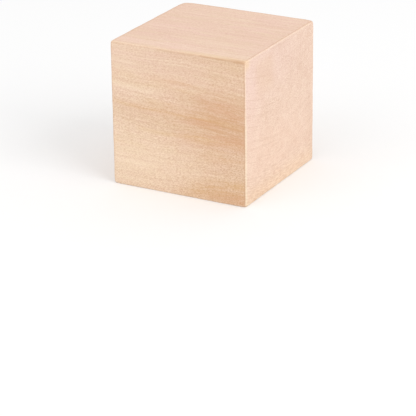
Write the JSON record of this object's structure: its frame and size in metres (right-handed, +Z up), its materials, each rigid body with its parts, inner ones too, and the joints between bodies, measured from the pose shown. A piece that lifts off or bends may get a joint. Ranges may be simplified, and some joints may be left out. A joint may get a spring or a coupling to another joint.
{
  "type": "wooden cube",
  "caption": "Solid cube of pale wood with flat sawn faces, lightly rounded edges and softened corners, for stacking, raising or building on.",
  "frame": {"origin": "middle of the base face, on the surface that the cube stands on", "axes": "+Z up; +X along the grain, out of an end-grain face; -Y out of the long-grain face with the red-brown streak"},
  "size_m": [0.1016, 0.1016, 0.1016],
  "materials": {
    "wood": "bare, sanded, close-grained pale wood with soft red-brown streaks; saw marks on the end grain"
  },
  "bodies": {
    "root": {"wooden_cube": "wood"}
  },
  "joints": []
}
